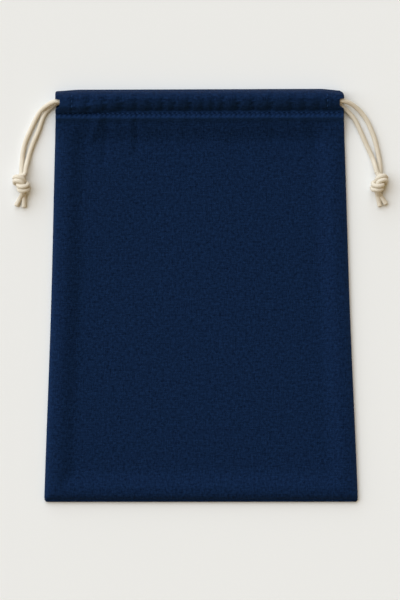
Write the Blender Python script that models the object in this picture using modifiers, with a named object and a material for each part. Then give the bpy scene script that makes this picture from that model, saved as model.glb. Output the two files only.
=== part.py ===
"""A kinchaku drawstring pouch, lying flat on its back: two cotton panels and two knotted drawcords.

Metres. +Z is up, +Y runs from the base to the mouth, and +X is to the right of someone who looks
down on the pouch. The origin is on the table, under the middle of the cloth.
"""

import math

import bmesh
import bpy
from mathutils import Matrix, Vector

# Cloth
POUCH_LENGTH = 0.263
BASE_WIDTH = 0.200
MOUTH_WIDTH = 0.1837  # the same cloth, drawn in a little by its cords
SIDE_BOW = 0.0006  # how far the sides bend in from a straight line
BASE_CORNER_RADIUS = 0.0023
CLOTH = 0.0005
CLEARANCE = 0.0003
SEAM_ALLOWANCE = 0.010

# Casing at the mouth
SEAM_BELOW_CORDS = 0.0032  # from the lower cord to the seam that closes the casing
HEM_BELOW_SEAM = 0.0031
HEM_TURNED_UNDER = 0.0045
MOUTH_GAP = 0.0006  # between the two hems
CASING_CROWN = 0.0008  # slack that lets the front of the casing stand proud of its cords
CROWN_DEPTH = 0.0056  # where the front of the casing is highest
CASING_ROUNDNESS = 3.3  # its fall from there to the seam, as a power curve
LANE_SHIFT = 0.040  # the length near the left end over which both cords move towards the mouth
CORD_TURN_INSET = 0.0034  # how far inside the casing's end each cord turns back
MOUTH_FLARE = 1.5  # how soon the fold at the mouth widens to the outline; 1 takes its whole turn
EXIT_NOTCH_DEPTH = 0.0026  # the front cloth draws back this far where the cords come out
CLOTH_SETTLE = 0.0055  # the length over which the front comes down from the hem
INNER_SETTLE = 0.012  # and over which it sinks inside the seam allowances

# Cords
CORD_DIAMETER = 0.003
KNOT_WIDTH = 0.012
KNOT_HEIGHT = 0.0117
KNOT_FLATTENING = 0.78
KNOT_ROUNDS = 4
KNOT_SHOULDER = 0.88  # width of the knot's end rounds, as a share of its middle ones

# Worked out from the sizes above. A layer is the step from one thickness of cloth to the next.
CORD_RADIUS = CORD_DIAMETER / 2
LAYER = CLOTH + CLEARANCE
FOLD_RADIUS = LAYER / 2
CASING_HEIGHT = CORD_DIAMETER + CLOTH + 2 * CLEARANCE
CASING_FOLD_RADIUS = CASING_HEIGHT / 2
CASING_FOLD = CASING_FOLD_RADIUS + CLOTH / 2
CORD_SPACING = CORD_DIAMETER + CLEARANCE
UPPER_LANE = CASING_FOLD + CLEARANCE + CORD_RADIUS
EXIT_LANE = UPPER_LANE + CORD_SPACING
LOWER_LANE = EXIT_LANE + CORD_SPACING
CASING_SLOPE = LOWER_LANE + CORD_RADIUS / 2
CASING_SEAM = LOWER_LANE + CORD_RADIUS + SEAM_BELOW_CORDS
HEM_EDGE = CASING_SEAM + HEM_BELOW_SEAM
BASE_FOLD = POUCH_LENGTH - FOLD_RADIUS - CLOTH / 2
FRONT_SAG = 2 * LAYER - CLEARANCE

BACK_CORD_HEIGHT = CLOTH / 2 + CASING_HEIGHT / 2
FRONT_CORD_HEIGHT = BACK_CORD_HEIGHT + CASING_HEIGHT + CLOTH + MOUTH_GAP
CORD_TURN_RADIUS = (FRONT_CORD_HEIGHT - BACK_CORD_HEIGHT) / 2
CORD_TURN_X = MOUTH_WIDTH / 2 - CORD_TURN_INSET - CORD_RADIUS - CORD_TURN_RADIUS
KNOT_CENTRE_HEIGHT = KNOT_WIDTH / 2 * KNOT_FLATTENING

# Heights of the middle of the cloth, for each stretch of a panel's section. The stack at the casing
# seam, from the table up, is back cloth, its turned edge, its hem, then the same in reverse in front.
BACK_CLOTH = CLOTH / 2
FRONT_HEM = BACK_CLOTH + 2 * LAYER + CLOTH + MOUTH_GAP
FRONT_CASING_HEM = BACK_CLOTH + CASING_HEIGHT + CLOTH + MOUTH_GAP
BACK = {
    "crest": BACK_CLOTH,
    "crest_depth": CASING_FOLD,
    "casing_hem": BACK_CLOTH + CASING_HEIGHT,
    "seam": BACK_CLOTH,
    "turned": BACK_CLOTH + LAYER,
    "hem": BACK_CLOTH + 2 * LAYER,
    "body": BACK_CLOTH,
    "allowance": BACK_CLOTH + LAYER,
    "sag": 0,
    "notch": 0,
}
FRONT = {
    "crest": FRONT_CASING_HEM + CASING_HEIGHT + CASING_CROWN,
    "crest_depth": CROWN_DEPTH,
    "casing_hem": FRONT_CASING_HEM,
    "seam": FRONT_HEM + 2 * LAYER,
    "turned": FRONT_HEM + LAYER,
    "hem": FRONT_HEM,
    "body": BACK_CLOTH + 3 * LAYER,
    "allowance": BACK_CLOTH + 2 * LAYER,
    "sag": FRONT_SAG,
    "notch": EXIT_NOTCH_DEPTH,
}

# Each free strand from the casing's end to its knot, chosen by hand: (outward from the casing's end,
# down from the exit, height above the table). The front strand leaves over the back one.
LEFT_FRONT_STRAND = (
    (-0.0022, 0.0000, 0.0072),
    (0.0010, 0.0004, 0.0066),
    (0.0040, 0.0018, 0.0055),
    (0.0068, 0.0036, 0.0042),
    (0.0094, 0.0058, 0.0029),
    (0.0114, 0.0086, 0.0020),
    (0.0135, 0.0124, 0.0015),
    (0.0165, 0.0187, 0.0015),
    (0.0193, 0.0251, 0.0015),
    (0.0209, 0.0315, 0.0015),
    (0.0216, 0.0379, 0.0016),
    (0.0219, 0.0425, 0.0022),
    (0.0219, 0.0460, 0.0028),
)
LEFT_BACK_STRAND = (
    (-0.0035, 0.0001, 0.0023),
    (-0.0010, 0.0009, 0.0023),
    (0.0024, 0.0032, 0.0020),
    (0.0050, 0.0054, 0.0016),
    (0.0071, 0.0080, 0.0015),
    (0.0091, 0.0125, 0.0015),
    (0.0112, 0.0187, 0.0015),
    (0.0140, 0.0251, 0.0015),
    (0.0164, 0.0315, 0.0015),
    (0.0179, 0.0370, 0.0022),
    (0.0189, 0.0416, 0.0046),
    (0.0194, 0.0459, 0.0056),
)
RIGHT_FRONT_STRAND = (
    (-0.0032, 0.0001, 0.0072),
    (0.0007, 0.0007, 0.0064),
    (0.0038, 0.0018, 0.0052),
    (0.0070, 0.0038, 0.0038),
    (0.0104, 0.0068, 0.0024),
    (0.0146, 0.0124, 0.0015),
    (0.0175, 0.0187, 0.0015),
    (0.0198, 0.0251, 0.0015),
    (0.0214, 0.0315, 0.0015),
    (0.0226, 0.0379, 0.0016),
    (0.0231, 0.0429, 0.0022),
    (0.0231, 0.0464, 0.0028),
)
RIGHT_BACK_STRAND = (
    (-0.0050, 0.0009, 0.0023),
    (-0.0024, 0.0026, 0.0023),
    (-0.0003, 0.0043, 0.0023),
    (0.0022, 0.0065, 0.0020),
    (0.0049, 0.0094, 0.0016),
    (0.0072, 0.0125, 0.0015),
    (0.0103, 0.0187, 0.0015),
    (0.0131, 0.0251, 0.0015),
    (0.0160, 0.0315, 0.0015),
    (0.0184, 0.0372, 0.0022),
    (0.0199, 0.0420, 0.0046),
    (0.0209, 0.0463, 0.0056),
)

# Each knot's middle from the same exit, and its cut tails from that middle: (outward, down, height).
LEFT_KNOT = (0.0216, 0.05245)
LEFT_TAILS = (
    ((0.0010, 0.0030, 0.0034), (0.0040, 0.0141, 0.0016)),
    ((-0.0006, 0.0030, 0.0044), (-0.0010, 0.0150, 0.0016)),
)
RIGHT_KNOT = (0.0221, 0.05285)
RIGHT_TAILS = (
    ((0.0010, 0.0030, 0.0044), (0.0049, 0.0134, 0.0016)),
    ((-0.0009, 0.0030, 0.0034), (0.0009, 0.0148, 0.0016)),
)

COLUMNS = 7
BODY_ROWS = 7
CURVE_STEPS = 6
FOLD_STEPS = 4
CASING_STEPS = 9
KNOT_STEPS = 16
TAIL_SIDES = 10

NAVY = (0.0056, 0.0160, 0.0467)
ECRU = (0.815, 0.694, 0.540)


def clear_scene():
    for old in list(bpy.data.objects):
        bpy.data.objects.remove(old, do_unlink=True)


def new_collection(name):
    collection = bpy.data.collections.new(name)
    bpy.context.scene.collection.children.link(collection)
    return collection


def place(name, data, collection):
    obj = bpy.data.objects.new(name, data)
    collection.objects.link(obj)
    return obj


def finish(obj, colour, roughness):
    material = bpy.data.materials.new(obj.name)
    material.use_nodes = True
    shader = material.node_tree.nodes["Principled BSDF"]
    shader.inputs["Base Color"].default_value = (*colour, 1)
    shader.inputs["Roughness"].default_value = roughness
    shader.inputs["Metallic"].default_value = 0
    obj.data.materials.append(material)


def smoothstep(t):
    t = min(max(t, 0), 1)
    return t * t * (3 - 2 * t)


# Section of a panel: (depth below the mouth, height), from the hem's raw edge to the base's


def straight(start, end, steps=1):
    """Points after start, up to and with end."""
    (s0, z0), (s1, z1) = start, end
    fractions = [(i + 1) / steps for i in range(steps)]
    return [(s0 + (s1 - s0) * f, z0 + (z1 - z0) * f) for f in fractions]


def ease(start, end):
    """An S-bend from one level to the next."""
    (s0, z0), (s1, z1) = start, end
    fractions = [(i + 1) / CURVE_STEPS for i in range(CURVE_STEPS)]
    return [(s0 + (s1 - s0) * f, z0 + (z1 - z0) * smoothstep(f)) for f in fractions]


def fold(depth, z0, z1, direction, steps):
    """A half turn from height z0 to z1, bulging down the pouch for direction 1, up for -1."""
    middle, radius = (z0 + z1) / 2, abs(z1 - z0) / 2
    angles = [math.pi * (i + 1) / steps for i in range(steps)]
    return [
        (depth + direction * radius * math.sin(a), middle + (z0 - middle) * math.cos(a))
        for a in angles
    ]


def casing_fold(level):
    """The turn at the mouth, from the hem over to the highest point of the casing's outer side."""
    hem, crest, crest_depth = level["casing_hem"], level["crest"], level["crest_depth"]
    nose_depth = CLOTH / 2
    nose = hem + math.copysign(CASING_FOLD_RADIUS, crest - hem)
    quarter = [math.pi / 2 * (i + 1) / FOLD_STEPS for i in range(FOLD_STEPS)]
    hem_side = [
        (CASING_FOLD - (CASING_FOLD - nose_depth) * math.sin(a), nose + (hem - nose) * math.cos(a))
        for a in quarter
    ]
    outer_side = [
        (crest_depth - (crest_depth - nose_depth) * math.cos(a), nose + (crest - nose) * math.sin(a))
        for a in quarter
    ]
    return hem_side + outer_side


def casing_fall(level):
    """From the casing's highest point down to the seam that closes it."""
    start = level["crest_depth"]
    fractions = [(i + 1) / CASING_STEPS for i in range(CASING_STEPS)]
    drop = level["seam"] - level["crest"]
    return [
        (start + (CASING_SEAM - start) * f, level["crest"] + drop * f**CASING_ROUNDNESS)
        for f in fractions
    ]


def half_width(depth):
    """The pouch's outline, from its middle line, at a depth below the mouth."""
    round_start = POUCH_LENGTH - BASE_CORNER_RADIUS
    t = min(max((depth - HEM_EDGE) / (round_start - HEM_EDGE), 0), 1)
    width = MOUTH_WIDTH + (BASE_WIDTH - MOUTH_WIDTH) * t
    bow = SIDE_BOW * math.sin(math.pi * t) ** 2
    into_corner = min(max(depth - round_start, 0), BASE_CORNER_RADIUS)
    corner = BASE_CORNER_RADIUS - math.sqrt(BASE_CORNER_RADIUS**2 - into_corner**2)
    return width / 2 - bow - corner


def section_rows(level):
    """Rows of a panel along the cloth from end to end: (depth, height, half width, side turned in)."""
    raw_edge = (HEM_EDGE - HEM_TURNED_UNDER, level["turned"])
    under = [raw_edge] + straight(raw_edge, (HEM_EDGE - FOLD_RADIUS, level["turned"]), 2)
    under += fold(HEM_EDGE - FOLD_RADIUS, level["turned"], level["hem"], 1, FOLD_STEPS)
    under += straight(under[-1], (CASING_SEAM, level["hem"]))
    under += ease(under[-1], (CASING_SLOPE, level["casing_hem"]))
    under += straight(under[-1], (CASING_FOLD, level["casing_hem"]), 2)
    rows = [(s, z, CORD_TURN_X, False) for s, z in under]

    over = casing_fold(level)
    for i, (s, z) in enumerate(over):
        widened = smoothstep(MOUTH_FLARE * (i + 1) / len(over))
        rows.append((s, z, CORD_TURN_X + (half_width(s) - CORD_TURN_X) * widened, False))

    for s, z in casing_fall(level):
        drawn_back = level["notch"] * math.sin(math.pi * s / CASING_SEAM) ** 2
        rows.append((s, z, half_width(s) - drawn_back, False))

    settled = HEM_EDGE + CLOTH_SETTLE
    lowest_side = POUCH_LENGTH - BASE_CORNER_RADIUS
    inner_top = (settled + INNER_SETTLE, level["body"])
    inner_base = (POUCH_LENGTH - SEAM_ALLOWANCE - INNER_SETTLE, level["body"])
    body = [(HEM_EDGE + LAYER, level["seam"])]
    body += ease(body[-1], (settled, level["body"]))
    body += [inner_top] + straight(inner_top, inner_base, BODY_ROWS)
    body += straight(inner_base, (POUCH_LENGTH - SEAM_ALLOWANCE, level["body"]))
    body += straight(body[-1], (lowest_side, level["body"]))
    rows += [(s, z, half_width(s), True) for s, z in body]

    base = straight(body[-1], (BASE_FOLD, level["body"]), 2)
    base += fold(BASE_FOLD, level["body"], level["allowance"], 1, FOLD_STEPS)
    rows += [(s, z, half_width(s), False) for s, z in base]
    flap_edge = (POUCH_LENGTH - SEAM_ALLOWANCE, level["allowance"])
    flap = straight((BASE_FOLD - FOLD_RADIUS, level["allowance"]), flap_edge, 2)
    flap.insert(0, (BASE_FOLD - FOLD_RADIUS, level["allowance"]))
    trimmed = BASE_WIDTH / 2 - SEAM_ALLOWANCE - LAYER
    rows += [(s, z, trimmed, False) for s, z in flap]
    return rows


def sag_at(across, depth, outline):
    """How far the front has settled, as a share, inside the ring of seam allowances."""
    from_side = smoothstep((outline - across - SEAM_ALLOWANCE) / INNER_SETTLE)
    from_base = smoothstep((POUCH_LENGTH - SEAM_ALLOWANCE - depth) / INNER_SETTLE)
    from_hem = smoothstep((depth - HEM_EDGE - CLOTH_SETTLE) / INNER_SETTLE)
    return from_side * from_base * from_hem


def turn_in_side(bm, edges, inward):
    """Rolls the cloth's side edge over and lays the seam allowance flat inside the pouch."""
    angles = [math.pi * i / FOLD_STEPS for i in range(FOLD_STEPS + 1)]
    path = [(FOLD_RADIUS * math.sin(a), FOLD_RADIUS * (1 - math.cos(a))) for a in angles]
    path.append((FOLD_RADIUS - SEAM_ALLOWANCE, 2 * FOLD_RADIUS))
    for (x0, z0), (x1, z1) in zip(path, path[1:]):
        made = bmesh.ops.extrude_edge_only(bm, edges=edges)["geom"]
        moved = [g for g in made if isinstance(g, bmesh.types.BMVert)]
        bmesh.ops.translate(bm, verts=moved, vec=(x1 - x0, 0, inward * (z1 - z0)))
        edges = [g for g in made if isinstance(g, bmesh.types.BMEdge)]


def make_panel(name, level, collection):
    """Half a sheet of cloth from a grid, folded along its section, then mirrored and given thickness."""
    rows = section_rows(level)
    inward = 1 if level["allowance"] > level["body"] else -1
    bm = bmesh.new()
    bmesh.ops.create_grid(bm, x_segments=COLUMNS, y_segments=len(rows) - 1, size=0.5)
    side_verts = set()
    for v in bm.verts:
        column = round((v.co.x + 0.5) * COLUMNS)
        depth, height, half, turned_in = rows[round((v.co.y + 0.5) * (len(rows) - 1))]
        reach = half - FOLD_RADIUS - CLOTH / 2 if turned_in else half
        across = reach * math.sin(column / COLUMNS * math.pi / 2)
        if turned_in:
            height -= level["sag"] * sag_at(across, depth, half)
        v.co = (across, POUCH_LENGTH / 2 - depth, height)
        if turned_in and column == COLUMNS:
            side_verts.add(v)
    side_edges = [e for e in bm.edges if set(e.verts) <= side_verts]
    turn_in_side(bm, side_edges, inward)
    bmesh.ops.recalc_face_normals(bm, faces=bm.faces)

    mesh = bpy.data.meshes.new(name)
    bm.to_mesh(mesh)
    bm.free()
    mesh.shade_smooth()
    panel = place(name, mesh, collection)
    mirror = panel.modifiers.new("Other half", "MIRROR")
    mirror.merge_threshold = 0.0001
    thickness = panel.modifiers.new("Cloth", "SOLIDIFY")
    thickness.thickness = CLOTH
    thickness.offset = 0
    thickness.use_even_offset = True
    finish(panel, NAVY, 0.85)


# Cords


def catmull_rom(p0, p1, p2, p3, t):
    """A point between p1 and p2 on the smooth curve through all four."""
    return 0.5 * (
        2 * p1
        + (p2 - p0) * t
        + (2 * p0 - 5 * p1 + 4 * p2 - p3) * t**2
        + (3 * p1 - p0 - 3 * p2 + p3) * t**3
    )


def read_smooth(points, spacing):
    """Points read from a smooth curve through the route's own, no further apart than spacing."""
    ends = [2 * points[0] - points[1]] + points + [2 * points[-1] - points[-2]]
    read = [points[0]]
    for i in range(1, len(ends) - 2):
        steps = max(1, round((ends[i + 1] - ends[i]).length / spacing))
        read += [catmull_rom(*ends[i - 1 : i + 3], (k + 1) / steps) for k in range(steps)]
    return read


def strand_points(strand, side):
    """A free strand's points in the pouch's frame. side is -1 on the left and 1 on the right."""
    exit_x, exit_y = MOUTH_WIDTH / 2, POUCH_LENGTH / 2 - EXIT_LANE
    return [Vector((side * (exit_x + out), exit_y - down, z)) for out, down, z in strand]


def casing_lane(side, left_end_lane):
    """A cord's way along the casing, from its own end to the far one: (x, y)."""
    shifts = [i / CURVE_STEPS for i in range(CURVE_STEPS + 1)]
    lane = [
        (
            LANE_SHIFT * f - CORD_TURN_X,
            POUCH_LENGTH / 2 - left_end_lane + CORD_SPACING * smoothstep(f),
        )
        for f in shifts
    ]
    lane.append((CORD_TURN_X, lane[-1][1]))
    return lane if side < 0 else lane[::-1]


def make_drawcord(name, side, front_strand, back_strand, left_end_lane, collection):
    """One cord: in along the front casing, round the far ends of both hems, and back behind."""
    lane = casing_lane(side, left_end_lane)
    turn_x, turn_y = lane[-1]
    middle = (FRONT_CORD_HEIGHT + BACK_CORD_HEIGHT) / 2
    turn = [
        Vector(
            (
                turn_x - side * CORD_TURN_RADIUS * math.sin(a),
                turn_y,
                middle + CORD_TURN_RADIUS * math.cos(a),
            )
        )
        for a in (math.pi / 4, math.pi / 2, 3 * math.pi / 4)
    ]
    free_spacing = 2.5 * CORD_DIAMETER
    route = read_smooth(list(reversed(strand_points(front_strand, side))), free_spacing)
    route += [Vector((x, y, FRONT_CORD_HEIGHT)) for x, y in lane]
    route += turn
    route += [Vector((x, y, BACK_CORD_HEIGHT)) for x, y in reversed(lane)]
    route += read_smooth(strand_points(back_strand, side), free_spacing)

    curve = bpy.data.curves.new(name, "CURVE")
    curve.dimensions = "3D"
    curve.bevel_depth = CORD_RADIUS
    curve.bevel_resolution = 2
    curve.use_fill_caps = True
    spline = curve.splines.new("POLY")
    spline.points.add(len(route) - 1)
    for point, at in zip(spline.points, route):
        point.co = (*at, 1)
    finish(place(name, curve, collection), ECRU, 0.7)


def knot_profile():
    """The knot's outline from its top down its outer side: stacked rounds of cord."""
    tall = KNOT_HEIGHT / KNOT_ROUNDS
    points = [(0, KNOT_HEIGHT / 2)]
    for i in range(KNOT_ROUNDS):
        end_round = i in (0, KNOT_ROUNDS - 1)
        radius = KNOT_WIDTH / 2 * (KNOT_SHOULDER if end_round else 1)
        middle = KNOT_HEIGHT / 2 - (i + 0.5) * tall
        for k in range(FOLD_STEPS + 1):
            a = math.pi / 2 - math.pi * k / FOLD_STEPS
            points.append((radius - tall / 2 * (1 - math.cos(a)), middle + tall / 2 * math.sin(a)))
    points.append((0, -KNOT_HEIGHT / 2))
    return points


def make_tail(name, start, end, helpers):
    """A cut tail, as a round bar that starts inside its knot."""
    bm = bmesh.new()
    along = end - start
    bmesh.ops.create_cone(
        bm,
        cap_ends=True,
        segments=TAIL_SIDES,
        radius1=CORD_RADIUS,
        radius2=CORD_RADIUS,
        depth=along.length,
        matrix=Matrix.Translation((start + end) / 2) @ along.to_track_quat("Z", "Y").to_matrix().to_4x4(),
    )
    mesh = bpy.data.meshes.new(name)
    bm.to_mesh(mesh)
    bm.free()
    tail = place(name, mesh, helpers)
    tail.hide_render = True
    tail.display_type = "WIRE"
    return tail


def make_knot(name, side, centre, tails, collection, helpers):
    """Four rounds of cord, pulled tight and flattened by lying on the table, with two tails."""
    points = knot_profile()
    mesh = bpy.data.meshes.new(name)
    mesh.from_pydata([(x, 0, z) for x, z in points], [(i, i + 1) for i in range(len(points) - 1)], [])
    knot = place(name, mesh, collection)
    out, down = centre
    x = side * (MOUTH_WIDTH / 2 + out)
    y = POUCH_LENGTH / 2 - EXIT_LANE - down
    knot.location = (x, y, KNOT_CENTRE_HEIGHT)
    knot.rotation_euler = (-math.pi / 2, 0, 0)
    knot.scale = (1, KNOT_FLATTENING, 1)
    turned = knot.modifiers.new("Rounds", "SCREW")
    turned.steps = turned.render_steps = KNOT_STEPS
    turned.use_merge_vertices = True
    turned.merge_threshold = 0.0001
    for i, ends in enumerate(tails):
        start, end = (Vector((x + side * o, y - d, z)) for o, d, z in ends)
        joined = knot.modifiers.new(f"Tail {i + 1}", "BOOLEAN")
        joined.operation = "UNION"
        joined.object = make_tail(f"{name}_tail_{i + 1}", start, end, helpers)
    finish(knot, ECRU, 0.7)


clear_scene()
pouch = new_collection("kinchaku_pouch")
helpers = new_collection("joined_shapes")

make_panel("back_panel", BACK, pouch)
make_panel("front_panel", FRONT, pouch)
make_drawcord("drawcord_left", -1, LEFT_FRONT_STRAND, LEFT_BACK_STRAND, EXIT_LANE, pouch)
make_drawcord("drawcord_right", 1, RIGHT_FRONT_STRAND, RIGHT_BACK_STRAND, LOWER_LANE, pouch)
make_knot("knot_left", -1, LEFT_KNOT, LEFT_TAILS, pouch, helpers)
make_knot("knot_right", 1, RIGHT_KNOT, RIGHT_TAILS, pouch, helpers)
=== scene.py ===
"""The looks of a flat drawstring pouch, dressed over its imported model. Metres, in the model's frame."""

import math

import bmesh
import bpy
import numpy as np
from mathutils import Matrix, Vector, noise


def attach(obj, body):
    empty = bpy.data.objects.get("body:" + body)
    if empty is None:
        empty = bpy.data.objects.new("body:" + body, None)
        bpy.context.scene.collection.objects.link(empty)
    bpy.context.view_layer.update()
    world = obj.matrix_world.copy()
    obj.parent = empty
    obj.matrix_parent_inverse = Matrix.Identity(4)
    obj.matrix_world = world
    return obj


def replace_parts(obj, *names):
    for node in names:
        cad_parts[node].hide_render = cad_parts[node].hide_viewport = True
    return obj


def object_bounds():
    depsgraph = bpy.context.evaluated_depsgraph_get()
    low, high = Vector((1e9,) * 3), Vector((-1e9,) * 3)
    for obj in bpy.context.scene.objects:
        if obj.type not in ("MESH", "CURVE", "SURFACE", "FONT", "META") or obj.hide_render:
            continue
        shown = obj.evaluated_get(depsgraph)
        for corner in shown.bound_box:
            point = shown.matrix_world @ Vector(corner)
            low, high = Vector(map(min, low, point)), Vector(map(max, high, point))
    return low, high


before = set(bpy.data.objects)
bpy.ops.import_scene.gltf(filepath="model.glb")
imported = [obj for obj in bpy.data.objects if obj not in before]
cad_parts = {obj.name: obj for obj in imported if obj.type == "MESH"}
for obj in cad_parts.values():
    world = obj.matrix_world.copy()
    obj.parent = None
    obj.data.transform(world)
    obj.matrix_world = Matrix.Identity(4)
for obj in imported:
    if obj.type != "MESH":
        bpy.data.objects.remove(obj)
cad_low, cad_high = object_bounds()

# Camera: it looks straight down on the pouch, which lies flat with its mouth to the top of the
# picture, from so far off that the raised casing looks hardly nearer than the rest.
PICTURE_LENGTH = 0.3826  # what the long side of the picture takes in, at the height of the cloth
LENS, SENSOR = 200, 36
CLOTH_TOP = 0.003
camera = bpy.data.objects.new("camera", bpy.data.cameras.new("camera"))
camera.data.lens = LENS
camera.data.sensor_width = SENSOR
camera.location = (-0.00023, -0.00274, CLOTH_TOP + PICTURE_LENGTH * LENS / SENSOR)
camera.rotation_euler = (0, 0, math.radians(-0.2))
camera.data.clip_end = 10
bpy.context.scene.collection.objects.link(camera)
bpy.context.scene.camera = camera
bpy.context.scene.view_settings.view_transform = "Standard"

# Drawcords: two round cords of ecru cotton, braided, 3 mm thick. Each lies in the front casing from
# one side of the pouch to the other, turns back round the hems and returns through the back casing,
# and its two strands hang out of the side where it began. The route's points are the model's own.
CORD_RADIUS = 0.0015
POUCH_LENGTH = cad_high.y - cad_low.y
MOUTH_WIDTH = 0.1837
EXIT_LANE, LOWER_LANE = 0.0074, 0.0107  # below the mouth
CORD_SPACING = LOWER_LANE - EXIT_LANE
LANE_SHIFT = 0.040
FRONT_CORD_HEIGHT, BACK_CORD_HEIGHT = 0.0075, 0.0023
CORD_TURN_RADIUS = (FRONT_CORD_HEIGHT - BACK_CORD_HEIGHT) / 2
CORD_TURN_X = 0.08435
STRAND_SIDES, STRAND_STEP = 48, 0.0003
HIDDEN_SIDES, HIDDEN_STEP = 20, 0.0012
CASING_STOPS, TURN_STEPS = 20, 12  # from the casing's middle to one end, and round the cord's turn
BRAID_STRANDS = 8  # that go round one way, and as many the other way
BRAID_REPEAT = 0.0017  # along the cord
BRAID_RELIEF = 0.00006
CUT_FLARE, CUT_LENGTH, CUT_ROUND = 0.10, 0.0008, 0.0005  # where the braid loosens and stops

# Each strand from the casing to its knot: outward from the mouth's end, down from the exit, height
LEFT_FRONT_STRAND = (
    (-0.0022, 0.0000, 0.0072),
    (0.0010, 0.0004, 0.0066),
    (0.0040, 0.0018, 0.0055),
    (0.0068, 0.0036, 0.0042),
    (0.0094, 0.0058, 0.0029),
    (0.0114, 0.0086, 0.0020),
    (0.0135, 0.0124, 0.0015),
    (0.0165, 0.0187, 0.0015),
    (0.0193, 0.0251, 0.0015),
    (0.0209, 0.0315, 0.0015),
    (0.0216, 0.0379, 0.0016),
    (0.0219, 0.0425, 0.0022),
    (0.0219, 0.0460, 0.0028),
)
LEFT_BACK_STRAND = (
    (-0.0035, 0.0001, 0.0023),
    (-0.0010, 0.0009, 0.0023),
    (0.0024, 0.0032, 0.0020),
    (0.0050, 0.0054, 0.0016),
    (0.0071, 0.0080, 0.0015),
    (0.0091, 0.0125, 0.0015),
    (0.0112, 0.0187, 0.0015),
    (0.0140, 0.0251, 0.0015),
    (0.0164, 0.0315, 0.0015),
    (0.0179, 0.0370, 0.0022),
    (0.0189, 0.0416, 0.0046),
    (0.0194, 0.0459, 0.0056),
)
RIGHT_FRONT_STRAND = (
    (-0.0032, 0.0001, 0.0072),
    (0.0007, 0.0007, 0.0064),
    (0.0038, 0.0018, 0.0052),
    (0.0070, 0.0038, 0.0038),
    (0.0104, 0.0068, 0.0024),
    (0.0146, 0.0124, 0.0015),
    (0.0175, 0.0187, 0.0015),
    (0.0198, 0.0251, 0.0015),
    (0.0214, 0.0315, 0.0015),
    (0.0226, 0.0379, 0.0016),
    (0.0231, 0.0429, 0.0022),
    (0.0231, 0.0464, 0.0028),
)
RIGHT_BACK_STRAND = (
    (-0.0050, 0.0009, 0.0023),
    (-0.0024, 0.0026, 0.0023),
    (-0.0003, 0.0043, 0.0023),
    (0.0022, 0.0065, 0.0020),
    (0.0049, 0.0094, 0.0016),
    (0.0072, 0.0125, 0.0015),
    (0.0103, 0.0187, 0.0015),
    (0.0131, 0.0251, 0.0015),
    (0.0160, 0.0315, 0.0015),
    (0.0184, 0.0372, 0.0022),
    (0.0199, 0.0420, 0.0046),
    (0.0209, 0.0463, 0.0056),
)


class Wire:
    """A number in a material, on which sums are written as they are in Python."""

    def __init__(self, shader, socket):
        self.shader, self.socket = shader, socket

    def math(self, operation, *others, turned=False):
        values = (*others, self) if turned else (self, *others)
        return self.shader.node("ShaderNodeMath", {"operation": operation}, dict(enumerate(values)))

    def __add__(self, other):
        return self.math("ADD", other)

    __radd__ = __add__

    def __sub__(self, other):
        return self.math("SUBTRACT", other)

    def __rsub__(self, other):
        return self.math("SUBTRACT", other, turned=True)

    def __mul__(self, other):
        return self.math("MULTIPLY", other)

    __rmul__ = __mul__

    def __truediv__(self, other):
        return self.math("DIVIDE", other)

    def wave(self):
        """A sine with one period for each whole number, from 0 to 1."""
        return (self * math.tau).math("SINE") * 0.5 + 0.5

    def clamped(self):
        return self.math("MINIMUM", 1).math("MAXIMUM", 0)


class Shader:
    """A material and its nodes."""

    def __init__(self, name):
        self.material = bpy.data.materials.new(name)
        self.material.use_nodes = True
        self.surface = self.material.node_tree.nodes["Principled BSDF"]

    def node(self, kind, settings, sockets, out=0):
        made = self.material.node_tree.nodes.new(kind)
        for name, value in settings.items():
            setattr(made, name, value)
        self.fill(made, sockets)
        return Wire(self, made.outputs[out])

    def fill(self, made, sockets):
        for name, value in sockets.items():
            if isinstance(value, Wire):
                self.material.node_tree.links.new(value.socket, made.inputs[name])
            else:
                made.inputs[name].default_value = value

    def blend(self, share, first, second):
        """A colour between two others."""
        settings = {"data_type": "RGBA", "clamp_factor": True}
        return self.node("ShaderNodeMix", settings, {0: share, 6: first, 7: second}, out=2)

    def speckle(self, place, scale, detail=2):
        """Perlin noise, from 0 to 1, in features of 1 / scale."""
        return self.node(
            "ShaderNodeTexNoise", {}, {"Vector": place, "Scale": scale, "Detail": detail}, out=0
        )

    def bump(self, height, distance):
        return self.node(
            "ShaderNodeBump", {}, {"Height": height, "Distance": distance, "Strength": 1.0}
        )


def uv_of(shader, layer):
    """A piece's own map, as a vector and its two numbers."""
    place = shader.node("ShaderNodeUVMap", {"uv_map": layer}, {})
    across = shader.node("ShaderNodeSeparateXYZ", {}, {0: place}, out=0)
    along = shader.node("ShaderNodeSeparateXYZ", {}, {0: place}, out=1)
    return place, across, along


def stretched(shader, place, x, y):
    """A place, scaled along each of its two directions."""
    return shader.node("ShaderNodeVectorMath", {"operation": "MULTIPLY"}, {0: place, 1: (x, y, 1)})


ECRU = (0.720, 0.645, 0.515, 1)
# the deeper cream: painted shade in the braid's valleys, and the tone of darker fibres and worn places
ECRU_DEEP = (0.500, 0.400, 0.275, 1)
FIBRES, WORN_PLACES = (60, 1500), (2, 150)  # how many around the cord, and in a metre of it


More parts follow.
